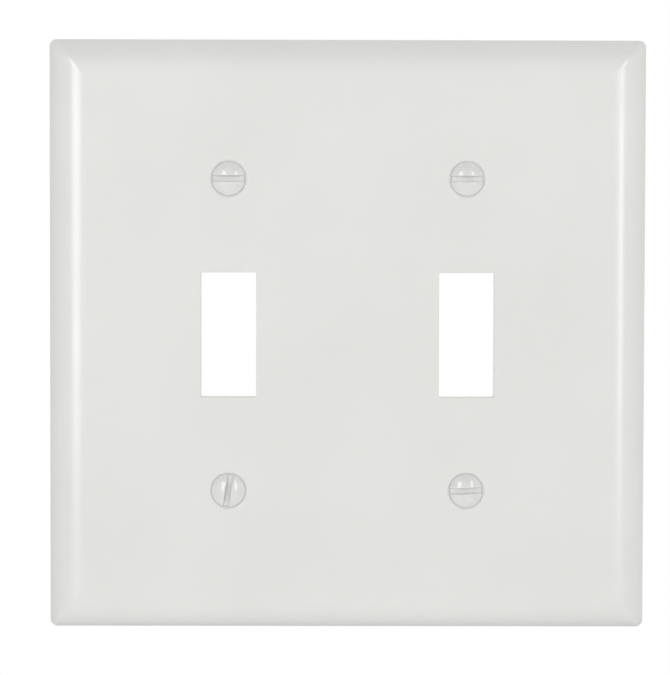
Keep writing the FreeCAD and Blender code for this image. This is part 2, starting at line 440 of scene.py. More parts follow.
def shade(mesh: bpy.types.Mesh, sharp_angle: float) -> bpy.types.Mesh:
    """Shade a mesh smooth, with broad faces kept flat and edges over an angle kept sharp.

    Args:
        mesh: the mesh to shade.
        sharp_angle: in degrees.

    Returns:
        A mesh that holds the finished normals.
    """
    mesh.shade_smooth()
    mesh.set_sharp_from_angle(angle=math.radians(sharp_angle))
    worker = place_object("shading", mesh)
    weighted = worker.modifiers.new("weighted", "WEIGHTED_NORMAL")
    weighted.mode = "FACE_AREA"
    weighted.weight = BROAD_FACE_WEIGHT
    weighted.keep_sharp = True
    return settle(worker)


# ---- Finishes --------------------------------------------------------------------------------------


class Paintbox(Wiring):
    """Builds one material around a Principled shader, on Object coordinates."""

    def __init__(self, name: str, ior: float = 1.5) -> None:
        """Start a material with one shader.

        Args:
            name: the material's name.
            ior: the index of refraction of its clear surface.
        """
        self.material = bpy.data.materials.new(name)
        self.material.use_nodes = True
        super().__init__(self.material.node_tree)
        self.shader = self.tree.nodes["Principled BSDF"]
        self.shader.inputs["IOR"].default_value = ior
        self.place = self.add("ShaderNodeTexCoord").outputs["Object"]

    def noise(
        self, feature: float, detail: float = 2.0, stretch: tuple[float, float, float] = (1, 1, 1)
    ) -> bpy.types.NodeSocket:
        """A soft random pattern.

        Args:
            feature: the size of its features, in metres.
            detail: how many finer layers it has.
            stretch: how much finer it is along each axis.

        Returns:
            A value from 0 to 1, mostly near 0.5.
        """
        mapping = self.add("ShaderNodeMapping")
        self.feed(mapping.inputs["Vector"], self.place)
        mapping.inputs["Scale"].default_value = [part / feature for part in stretch]
        node = self.add("ShaderNodeTexNoise")
        self.feed(node.inputs["Vector"], mapping.outputs[0])
        node.inputs["Scale"].default_value = 1.0
        node.inputs["Detail"].default_value = detail
        return node.outputs[0]

    def specks(self, cell: float, radius: float, share: float) -> bpy.types.NodeSocket:
        """A scatter of small round specks.

        Args:
            cell: how far apart they could lie.
            radius: of one speck.
            share: of the cells that hold one.

        Returns:
            1 inside a speck and 0 outside.
        """
        mapping = self.add("ShaderNodeMapping")
        self.feed(mapping.inputs["Vector"], self.place)
        mapping.inputs["Scale"].default_value = [1 / cell] * 3
        cells = self.add("ShaderNodeTexVoronoi", feature="F1")
        self.feed(cells.inputs["Vector"], mapping.outputs[0])
        cells.inputs["Scale"].default_value = 1.0
        edge = (SPECK_CORE * radius / cell, radius / cell)
        near = self.ramp(cells.outputs["Distance"], edge, (1.0, 0.0))
        chosen = self.math("LESS_THAN", self.red_of(cells.outputs["Color"]), share)
        return self.math("MULTIPLY", near, chosen)

    def red_of(self, colour: bpy.types.NodeSocket) -> bpy.types.NodeSocket:
        """Take the red part of a colour.

        Args:
            colour: the colour's socket.

        Returns:
            The red part as a number.
        """
        split = self.add("ShaderNodeSeparateColor")
        self.feed(split.inputs[0], colour)
        return split.outputs[0]

    def blend(self, share: object, first: object, second: object) -> bpy.types.NodeSocket:
        """Mix two colours.

        Args:
            share: how much of the second colour shows.
            first: a colour or its socket.
            second: a colour or its socket.

        Returns:
            The mixed colour.
        """
        mix = self.add("ShaderNodeMix", data_type="RGBA")
        colours = [socket for socket in mix.inputs if socket.type == "RGBA"]
        self.feed(mix.inputs[0], share)
        self.feed(colours[0], first)
        self.feed(colours[1], second)
        return next(socket for socket in mix.outputs if socket.type == "RGBA")

    def relief(self, height: object, depth: float, below: object = None) -> bpy.types.NodeSocket:
        """Fine relief in the surface.

        Args:
            height: the pattern, from 0 to 1.
            depth: how far 1 stands above 0, in metres.
            below: coarser relief that this one lies on.

        Returns:
            The bent normal.
        """
        bump = self.add("ShaderNodeBump")
        bump.inputs["Strength"].default_value = 1.0
        bump.inputs["Distance"].default_value = depth
        self.feed(bump.inputs["Height"], height)
        if below is not None:
            self.feed(bump.inputs["Normal"], below)
        return bump.outputs[0]

    def dress(self, colour: object, roughness: object, normal: object) -> bpy.types.Material:
        """Join the parts of the look to the shader.

        Args:
            colour: a colour or its socket.
            roughness: a number or its socket.
            normal: the bent normal's socket.

        Returns:
            The finished material.
        """
        self.feed(self.shader.inputs["Base Color"], colour)
        self.feed(self.shader.inputs["Roughness"], roughness)
        self.feed(self.shader.inputs["Normal"], normal)
        return self.material


def rgb(red: float, green: float, blue: float) -> tuple[float, float, float, float]:
    """A colour with full cover."""
    return (red, green, blue, 1.0)


@dataclass(frozen=True)
class PolishedMoulding:
    """White thermoplastic from a polished mould: gloss with a faint orange peel and a little dust."""

    name: str = "polished_moulding"
    white: tuple[float, ...] = rgb(0.760, 0.762, 0.742)
    cloud: tuple[float, ...] = rgb(0.742, 0.746, 0.724)
    dust: tuple[float, ...] = rgb(0.42, 0.41, 0.38)
    ior: float = 1.49
    cloud_size: float = 26 * MM
    dust_spacing: float = 9 * MM
    dust_radius: float = 0.09 * MM
    dust_share: float = 0.05
    gloss: tuple[float, float] = (0.19, 0.25)
    gloss_patch: float = 7 * MM
    peel_size: float = 1.6 * MM
    peel_depth: float = 0.0016 * MM
    grain_size: float = 0.22 * MM
    grain_depth: float = 0.00025 * MM

    def material(self) -> bpy.types.Material:
        """Build the finish.

        Returns:
            Its material.
        """
        box = Paintbox(self.name, self.ior)
        clouds = box.ramp(box.noise(self.cloud_size), CLEAR_NOISE)
        body = box.blend(clouds, self.white, self.cloud)
        specks = box.specks(self.dust_spacing, self.dust_radius, self.dust_share)
        colour = box.blend(specks, body, self.dust)
        roughness = box.ramp(box.noise(self.gloss_patch, 3.0), MIDDLE_NOISE, self.gloss)
        peel = box.relief(box.noise(self.peel_size, 1.0), self.peel_depth)
        grain = box.relief(box.noise(self.grain_size, 2.0), self.grain_depth, peel)
        return box.dress(colour, roughness, grain)


@dataclass(frozen=True)
class SparkedMoulding:
    """The same plastic where the mould was only spark-eroded: an even matt grain, for the back."""

    name: str = "sparked_moulding"
    white: tuple[float, ...] = rgb(0.755, 0.757, 0.738)
    shade: tuple[float, ...] = rgb(0.715, 0.718, 0.700)
    ior: float = 1.49
    flow_size: float = 18 * MM
    flow_stretch: tuple[float, float, float] = (1.0, 1.0, 0.4)
    matt: tuple[float, float] = (0.46, 0.58)
    matt_patch: float = 3 * MM
    grain_size: float = 0.16 * MM
    grain_depth: float = 0.009 * MM

    def material(self) -> bpy.types.Material:
        """Build the finish.

        Returns:
            Its material.
        """
        box = Paintbox(self.name, self.ior)
        flow = box.ramp(box.noise(self.flow_size, 3.0, self.flow_stretch), CLEAR_NOISE)
        colour = box.blend(flow, self.white, self.shade)
        roughness = box.ramp(box.noise(self.matt_patch), MIDDLE_NOISE, self.matt)
        grain = box.relief(box.noise(self.grain_size, 3.0), self.grain_depth)
        return box.dress(colour, roughness, grain)


@dataclass(frozen=True)
class HeadPaint:
    """White stoving paint on a screw head: fuller gloss than the plate, and slightly uneven."""

    name: str = "head_paint"
    white: tuple[float, ...] = rgb(0.735, 0.737, 0.720)
    thin: tuple[float, ...] = rgb(0.700, 0.703, 0.688)
    ior: float = 1.46
    cover_size: float = 1.4 * MM
    cover_window: tuple[float, float] = (0.38, 0.66)
    gloss: tuple[float, float] = (0.10, 0.16)
    gloss_patch: float = 0.7 * MM
    flow_size: float = 0.9 * MM
    flow_depth: float = 0.004 * MM

    def material(self) -> bpy.types.Material:
        """Build the finish.

        Returns:
            Its material.
        """
        box = Paintbox(self.name, self.ior)
        cover = box.ramp(box.noise(self.cover_size, 3.0), self.cover_window)
        colour = box.blend(cover, self.white, self.thin)
        roughness = box.ramp(box.noise(self.gloss_patch), MIDDLE_NOISE, self.gloss)
        flow = box.relief(box.noise(self.flow_size, 2.0), self.flow_depth)
        return box.dress(colour, roughness, flow)


@dataclass(frozen=True)
class ZincPlating:
    """Bright zinc on the rolled thread, with random tarnish spots and painted shade that darkens its
    roots.
    """

    name: str = "zinc_plating"
    bright: tuple[float, ...] = rgb(0.66, 0.68, 0.70)
    tarnish_and_shade_tone: tuple[float, ...] = rgb(0.40, 0.41, 0.42)
    polish: tuple[float, float] = (0.24, 0.42)
    tarnish_size: float = 0.8 * MM
    tarnish_window: tuple[float, float] = (0.35, 0.7)
    most_tarnish: float = 0.5
    painted_shade_window: tuple[float, float] = (0.0, 0.7)
    painted_root_light: float = 0.25
    polish_window: tuple[float, float] = (0.0, 0.8)
    draw_stretch: tuple[float, float, float] = (1.0, 4.0, 1.0)
    draw_size: float = 0.25 * MM
    draw_depth: float = 0.002 * MM
    crest_attribute: str = "crest"

    def material(self) -> bpy.types.Material:
        """Build the finish.

        Returns:
            Its material.
        """
        box = Paintbox(self.name)
        box.shader.inputs["Metallic"].default_value = 1.0
        crest = box.add("ShaderNodeAttribute", attribute_name=self.crest_attribute).outputs["Fac"]
        spots = box.noise(self.tarnish_size, 3.0)
        tarnish = box.ramp(spots, self.tarnish_window, (0.0, self.most_tarnish))
        # Painted shade: the colour darkens towards the thread's roots, taken from the crest height, to
        # stand in for the shade that falls in them; the random tarnish spots are real.
        painted_thread_light = box.ramp(crest, self.painted_shade_window, (self.painted_root_light, 1.0))
        tarnish_and_root_shade = box.math("MAXIMUM", box.math("SUBTRACT", 1.0, painted_thread_light), tarnish)
        colour = box.blend(tarnish_and_root_shade, self.bright, self.tarnish_and_shade_tone)
        roughness = box.ramp(tarnish_and_root_shade, self.polish_window, self.polish)
        lines = box.relief(box.noise(self.draw_size, 2.0, self.draw_stretch), self.draw_depth)
        return box.dress(colour, roughness, lines)


@dataclass(frozen=True)
class PressedFibre:
    """Vulcanised fibre: dry, matt, tan-grey, with the long flecks of its pulp."""

    name: str = "pressed_fibre"
    tan: tuple[float, ...] = rgb(0.50, 0.43, 0.33)
    fleck: tuple[float, ...] = rgb(0.36, 0.29, 0.21)
    matt: tuple[float, float] = (0.72, 0.88)
    matt_window: tuple[float, float] = (0.4, 0.7)
    fleck_size: float = 0.55 * MM
    fleck_depth: float = 0.02 * MM
    fleck_window: tuple[float, float] = (0.45, 0.72)
    long_way: float = 0.35
    short_way: float = 1.6

    def material(self) -> bpy.types.Material:
        """Build the finish.

        Returns:
            Its material.
        """
        box = Paintbox(self.name)
        along = box.noise(self.fleck_size, 4.0, (self.long_way, 1.0, self.short_way))
        across = box.noise(self.fleck_size, 4.0, (self.short_way, 1.0, self.long_way))
        pulp = box.math("MAXIMUM", along, across)
        colour = box.blend(box.ramp(pulp, self.fleck_window), self.tan, self.fleck)
        roughness = box.ramp(pulp, self.matt_window, self.matt)
        return box.dress(colour, roughness, box.relief(pulp, self.fleck_depth))


# ---- Wall plate ------------------------------------------------------------------------------------


@dataclass
class WallPlate:
    """The moulding: a flat face with a rolled rim, hollow behind, with ribs, collars and bosses."""

    low: Vector
    high: Vector
    screw_places: dict[Corner, Vector]
    front_wall: float = 2.4 * MM
    side_wall: float = 2.0 * MM
    rim_radius: float = 6.35 * MM
    rim_turn: float = math.radians(70.0)
    rim_start_radius: float = 13.0 * MM
    rim_start_turn: float = math.radians(11.0)
    rim_edge_radius: float = 0.5 * MM
    rim_edge_steps: int = 5
    rim_steps: int = 22
    rim_start_steps: int = 8
    corner_radius: float = 1.4 * MM
    mitre_radius: float = 0.2 * MM
    hollow_corner_radius: float = 1.2 * MM
    hollow_floor_radius: float = 0.7 * MM
    hollow_floor_steps: int = 6
    toggle_width: float = 10.7 * MM
    toggle_height: float = 24.1 * MM
    toggle_radius: float = 0.3 * MM
    toggle_corner_steps: int = 8
    boss_radius: float = 4.6 * MM
    boss_standoff: float = 0.8 * MM
    boss_root: float = 0.4 * MM
    boss_root_steps: int = 6
    boss_points: int = 72
    collar_wall: float = 1.5 * MM
    collar_standoff: float = 1.0 * MM
    rib_thickness: float = 1.1 * MM
    rib_standoff: float = 1.2 * MM
    pin_mark_radius: float = 2.5 * MM
    pin_mark_depth: float = 0.15 * MM
    gate_radius: float = 1.0 * MM
    gate_standoff: float = 0.4 * MM
    gate_taper: float = 0.8
    gate_points: int = 32
    hole_radius: float = 1.975 * MM
    hole_points: int = 128
    sink_radius: float = 3.62 * MM
    sink_slope: float = math.tan(math.radians(41.0))
    front_edge: float = 0.16 * MM
    front_edge_steps: int = 4
    back_edge: float = 0.07 * MM
    back_edge_steps: int = 2
    flat_angle: float = math.radians(0.5)
    edge_angle: float = math.radians(38.0)
    shading_angle: float = 42.0
    join_overlap: float = 0.3 * MM
    overrun: float = 1.0 * MM
    margin: float = 0.05 * MM

    @property
    def back_y(self) -> float:
        """The back of the front wall."""
        return self.low.y + self.front_wall

    @property
    def gang_x(self) -> float:
        """How far each gang's middle is from the plate's."""
        return self.screw_places[Corner.TOP_RIGHT].x

    @property
    def screw_z(self) -> float:
        """How far each row of screws is from the plate's middle."""
        return self.screw_places[Corner.TOP_RIGHT].z

    def rim_profile(self) -> list[tuple[float, float]]:
        """The outside, from the wall it stands on to the flat face.

        Returns:
            Points of (distance in from the outline, y).
        """
        edge, soft = self.rim_edge_radius, self.rim_start_radius
        turn, first = self.rim_turn, self.rim_start_turn
        depth = self.rim_radius * (1 - math.cos(turn))
        tight = (depth - soft * (1 - math.cos(first))) / (math.cos(first) - math.cos(turn))
        profile = [(0.0, self.high.y)]
        for step in range(self.rim_edge_steps + 1):
            angle = math.pi / 2 - (math.pi / 2 - turn) * step / self.rim_edge_steps
            inward = edge * (1 - math.sin(angle))
            rise = edge * (math.cos(turn) - math.cos(angle))
            profile.append((inward, self.low.y + depth + rise))
        start = profile[-1][0]
        for step in range(1, self.rim_steps + 1):
            angle = turn + (first - turn) * step / self.rim_steps
            inward = start + tight * (math.sin(turn) - math.sin(angle))
            profile.append((inward, self.low.y + depth - tight * (math.cos(angle) - math.cos(turn))))
        start = profile[-1][0]
        for step in range(1, self.rim_start_steps + 1):
            angle = first * (1 - step / self.rim_start_steps)
            inward = start + soft * (math.sin(first) - math.sin(angle))
            profile.append((inward, self.low.y + soft * (1 - math.cos(angle))))
        return profile

    def hollow_profile(self) -> list[tuple[float, float]]:
        """The inside, from the wall it stands on to the hollow's floor.

        Returns:
            Points of (distance in from the hollow's outline, y).
        """
        radius = self.hollow_floor_radius
        profile = [(0.0, self.high.y)]
        for angle in quarter_turn(self.hollow_floor_steps):
            y = self.back_y + radius * (1 - math.sin(angle))
            profile.append((radius * (1 - math.cos(angle)), y))
        return profile

    def shell(self) -> bpy.types.Mesh:
        """The plate before anything is added to it or cut from it.

        Returns:
            A closed mesh.
        """
        half_width = self.high.x
        half_height = self.high.z
        skin = Skin()
        outside = []
        rim = self.rim_profile()
        for inward, y in rim:
            along = inward / rim[-1][0]
            radius = self.corner_radius + (self.mitre_radius - self.corner_radius) * along
            outside.append(RoundedBox(half_width - inward, half_height - inward, radius).loop(y))
        inside = []
        for inward, y in self.hollow_profile():
            reach = self.side_wall + inward
            radius = self.hollow_corner_radius - inward / 2
            inside.append(RoundedBox(half_width - reach, half_height - reach, radius).loop(y))
        skin.grid(outside, ring=True)
        skin.grid([outside[0], inside[0]], ring=True)
        skin.grid(inside, ring=True)
        skin.cap(outside[-1])
        skin.cap(inside[-1])
        return skin.close("shell")

    def toggle_hole(self, x: float) -> bpy.types.Mesh:
        """The cutter for one toggle opening.

        Args:
            x: the gang's middle.

        Returns:
            A closed mesh.
        """
        half_width, half_height = self.toggle_width / 2, self.toggle_height / 2
        outline = RoundedBox(half_width, half_height, self.toggle_radius, self.toggle_corner_steps)
        return self.prism(outline, x, self.low.y - self.overrun, self.high.y + self.overrun)

    def toggle_collar(self, x: float) -> bpy.types.Mesh:
        """The raised block that a toggle opening is cut through.

        Args:
            x: the gang's middle.

        Returns:
            A closed mesh.
        """
        half_width = self.toggle_width / 2 + self.collar_wall
        half_height = self.toggle_height / 2 + self.collar_wall
        radius = self.toggle_radius + self.collar_wall
        outline = RoundedBox(half_width, half_height, radius, self.toggle_corner_steps)
        return self.prism(outline, x, self.back_y - self.join_overlap, self.back_y + self.collar_standoff)

    @staticmethod
    def prism(outline: RoundedBox, x: float, y0: float, y1: float) -> bpy.types.Mesh:
        """A prism along Y.

        Args:
            outline: its section.
            x: the middle of the section.
            y0: where it starts.
            y1: where it ends.

        Returns:
            A closed mesh.
        """
        skin = Skin()
        loops = [outline.loop(y0, x), outline.loop(y1, x)]
        skin.grid(loops, ring=True)
        skin.cap(loops[0])
        skin.cap(loops[1])
        return skin.close("prism")

    def screw_boss(self, place: Vector) -> bpy.types.Mesh:
        """One boss, with a rounded root.

        Args:
            place: a point on the screw's axis.

        Returns:
            A closed mesh.
        """
        outline = [(self.boss_radius + self.boss_root, self.back_y - self.join_overlap)]
        for angle in quarter_turn(self.boss_root_steps):
            radius = self.boss_radius + self.boss_root * (1 - math.sin(angle))
            outline.append((radius, self.back_y + self.boss_root * (1 - math.cos(angle))))
        outline.append((self.boss_radius, self.back_y + self.boss_standoff))
        return turned_solid(outline, place, self.boss_points)

    def screw_hole(self, place: Vector) -> bpy.types.Mesh:
        """The cutter for one clearance hole and its countersink.

        Args:
            place: a point on the screw's axis.

        Returns:
            A closed mesh.
        """
        front = self.low.y
        depth = (self.sink_radius - self.hole_radius) / self.sink_slope
        outline = [
            (self.sink_radius + self.overrun * self.sink_slope, front - self.overrun),
            (self.hole_radius, front + depth),
            (self.hole_radius, self.high.y + self.overrun),
        ]
        return turned_solid(outline, place, self.hole_points)

    def ribs(self) -> list[tuple[Vector, Vector]]:
        """Every rib on the back.

        Returns:
            The lowest and the highest corner of each.
        """
        side_x = self.high.x - self.side_wall + self.join_overlap
        end_z = self.high.z - self.side_wall + self.join_overlap
        boss = self.boss_radius - self.join_overlap
        collar_x = self.toggle_width / 2 + self.collar_wall - self.join_overlap
        collar_z = self.toggle_height / 2 + self.collar_wall - self.join_overlap
        gang, row = self.gang_x, self.screw_z
        runs = [self.upright(0, -end_z, end_z, self.rib_standoff)]
        for z, gap in ((row, boss), (0.0, collar_x), (-row, boss)):
            runs.append(self.level(z, gap - gang, gang - gap))
            runs.append(self.level(z, -side_x, -gang - gap))
            runs.append(self.level(z, gang + gap, side_x))
        for x in (-gang, gang):
            runs.append(self.upright(x, collar_z, row - boss, self.collar_standoff))
            runs.append(self.upright(x, boss - row, -collar_z, self.collar_standoff))
            runs.append(self.upright(x, row + boss, end_z, self.rib_standoff))
            runs.append(self.upright(x, -end_z, -row - boss, self.rib_standoff))
        return runs

    def upright(self, x: float, z0: float, z1: float, standoff: float) -> tuple[Vector, Vector]:
        """A rib along Z.

        Args:
            x: its middle.
            z0: its lower end.
            z1: its upper end.
            standoff: how far it stands off the front wall.

        Returns:
            Its lowest and its highest corner.
        """
        half = self.rib_thickness / 2
        y0, y1 = self.back_y - self.join_overlap, self.back_y + standoff
        return Vector((x - half, y0, z0)), Vector((x + half, y1, z1))

    def level(self, z: float, x0: float, x1: float) -> tuple[Vector, Vector]:
        """A rib along X.

        Args:
            z: its middle.
            x0: its left end.
            x1: its right end.

        Returns:
            Its lowest and its highest corner.
        """
        half = self.rib_thickness / 2
        y0, y1 = self.back_y - self.join_overlap, self.back_y + self.rib_standoff
        return Vector((x0, y0, z - half)), Vector((x1, y1, z + half))

    def pin_marks(self) -> list[Vector]:
        """Where the ejector pins pressed.

        Returns:
            The middle of each pin's mark.
        """
        inner_x = self.gang_x / 2
        outer_x = (self.gang_x + self.boss_radius + self.high.x - self.side_wall) / 2
        inner_z = (self.toggle_height / 2 + self.screw_z - self.boss_radius) / 2
        outer_z = (self.screw_z + self.high.z - self.side_wall) / 2
        across = (-outer_x, -inner_x, inner_x, outer_x)
        along = (-outer_z, -inner_z, inner_z, outer_z)
        return [Vector((x, self.back_y, z)) for x in across for z in along]

    def gate_stub(self) -> bpy.types.Mesh:
        """The stub where the plastic was fed in.

        Returns:
            A closed mesh.
        """
        place = Vector((self.gang_x / 2, 0, self.screw_z - self.boss_radius))
        outline = [
            (self.gate_radius, self.back_y - self.join_overlap),
            (self.gate_radius, self.back_y),
            (self.gate_radius * self.gate_taper, self.back_y + self.gate_standoff),
        ]
        return turned_solid(outline, place, self.gate_points)

    def build(self) -> bpy.types.Object:
        """Make, dress and place the moulding.

        Returns:
            The finished piece.
        """
        finishes = [PolishedMoulding().material(), SparkedMoulding().material()]
        raised = [self.toggle_collar(-self.gang_x), self.toggle_collar(self.gang_x), self.gate_stub()]
        raised += [self.screw_boss(place) for place in self.screw_places.values()]
        raised.append(bars(self.ribs()))
        mesh = combine(self.shell(), Operation.ADD, raised)
        cuts = [self.toggle_hole(-self.gang_x), self.toggle_hole(self.gang_x)]
        cuts += [self.screw_hole(place) for place in self.screw_places.values()]
        cuts.append(discs(self.pin_marks(), self.pin_mark_radius, 2 * self.pin_mark_depth))
        mesh = combine(mesh, Operation.CUT, cuts)
        self.ease_edges(mesh)
        mesh = shade(mesh, self.shading_angle)
        self.sort_faces(mesh)
        mesh.materials.clear()
        for finish in finishes:
            mesh.materials.append(finish)
        return place_object("moulded_plate", mesh)

    def ease_edges(self, mesh: bpy.types.Mesh) -> None:
        """Round the sharp edges that the holes and the additions left.

        Args:
            mesh: the moulding, changed in place.
        """
        work = bmesh.new()
        work.from_mesh(mesh)
        bmesh.ops.dissolve_limit(
            work, angle_limit=self.flat_angle, verts=work.verts, edges=work.edges, delimit={"NORMAL"}
        )
        front = self.sharp_edges(work, lambda y: y < self.low.y + self.margin)
        bevel(work, front, self.front_edge, self.front_edge_steps)
        rest = self.sharp_edges(work, lambda y: y > self.low.y + self.front_edge + 2 * self.margin)
        bevel(work, rest, self.back_edge, self.back_edge_steps)
        work.to_mesh(mesh)
        work.free()

    def sharp_edges(
        self, work: bmesh.types.BMesh, wanted: Callable[[float], bool]
    ) -> list[bmesh.types.BMEdge]:
        """Find the outward edges that are to be rounded.

        Args:
            work: the mesh to look in.
            wanted: says whether an edge with its middle at this y is asked for.

        Returns:
            The edges that turn by more than the edge angle.
        """
        found = []
        for edge in work.edges:
            if len(edge.link_faces) != 2 or not edge.is_convex:
                continue
            middle_y = (edge.verts[0].co.y + edge.verts[1].co.y) / 2
            if wanted(middle_y) and edge.calc_face_angle() > self.edge_angle:
                found.append(edge)
        return found

    def sort_faces(self, mesh: bpy.types.Mesh) -> None:
        """Give the faces inside the hollow the matt finish, and the others the polished one.

        Args:
            mesh: the moulding, changed in place.
        """
        reach_x = self.high.x - self.side_wall + self.margin
        reach_z = self.high.z - self.side_wall + self.margin
        for polygon in mesh.polygons:
            middle = polygon.center
            behind = middle.y > self.back_y - 2 * self.pin_mark_depth
            inside = abs(middle.x) < reach_x and abs(middle.z) < reach_z
            polygon.material_index = Face.HIDDEN.value if behind and inside else Face.SHOW.value


def bevel(work: bmesh.types.BMesh, edges: list[bmesh.types.BMEdge], width: float, steps: int) -> None:
    """Round some edges.

    Args:
        work: the mesh that holds them.
        edges: the edges to round.
        width: how far the round reaches from each edge.
        steps: how many facets it has.
    """
    bmesh.ops.bevel(
        work,
        geom=edges,
        offset=width,
        offset_type="OFFSET",
        segments=steps,
        profile=0.5,
        affect="EDGES",
        clamp_overlap=False,
        loop_slide=True,
    )


def bars(corners: Sequence[tuple[Vector, Vector]]) -> bpy.types.Mesh:
    """A set of straight bars, made by a node tree that stands a block on each of a set of points.

    Args:
        corners: each bar's lowest and highest corner.

    Returns:
        One mesh with all the bars.
    """
    points = bpy.data.meshes.new("bar_points")
    points.from_pydata([(low + high) / 2 for low, high in corners], [], [])
    sizes = points.attributes.new("bar_size", "FLOAT_VECTOR", "POINT")
    for item, (low, high) in zip(sizes.data, corners):
        item.vector = high - low
    tree = ShapeTree("bars")
    block = tree.add("GeometryNodeMeshCube")
    block.inputs["Size"].default_value = (1.0, 1.0, 1.0)
    size = tree.add("GeometryNodeInputNamedAttribute", data_type="FLOAT_VECTOR")
    size.inputs["Name"].default_value = "bar_size"
    stand = tree.add("GeometryNodeInstanceOnPoints")
    tree.feed(stand.inputs["Points"], tree.base)
    tree.feed(stand.inputs["Instance"], block.outputs["Mesh"])
    tree.feed(stand.inputs["Scale"], size.outputs["Attribute"])
    tree.end(stand.outputs["Instances"], [])
    return tree.shape(points, {})


def discs(places: Sequence[Vector], radius: float, thickness: float) -> bpy.types.Mesh:
    """A set of round discs along Y, made by a node tree that stands a disc on each of a set of points.

    Args:
        places: the discs' middles.
        radius: of each disc.
        thickness: of each disc, half of it on each side of its place.

    Returns:
        One mesh with all the discs.
    """
    points = bpy.data.meshes.new("disc_points")
    points.from_pydata(places, [], [])
    tree = ShapeTree("discs")
    disc = tree.add("GeometryNodeMeshCylinder", fill_type="NGON")
    disc.inputs["Vertices"].default_value = DISC_POINTS
    tree.feed(disc.inputs["Radius"], tree.size_input("Radius"))
    tree.feed(disc.inputs["Depth"], tree.size_input("Thickness"))
    stand = tree.add("GeometryNodeInstanceOnPoints")
    tree.feed(stand.inputs["Points"], tree.base)
    tree.feed(stand.inputs["Instance"], disc.outputs["Mesh"])
    stand.inputs["Rotation"].default_value = (math.pi / 2, 0, 0)
    tree.end(stand.outputs["Instances"], [])
    return tree.shape(points, {"Radius": radius, "Thickness": thickness})


# ---- Screws ----------------------------------------------------------------------------------------


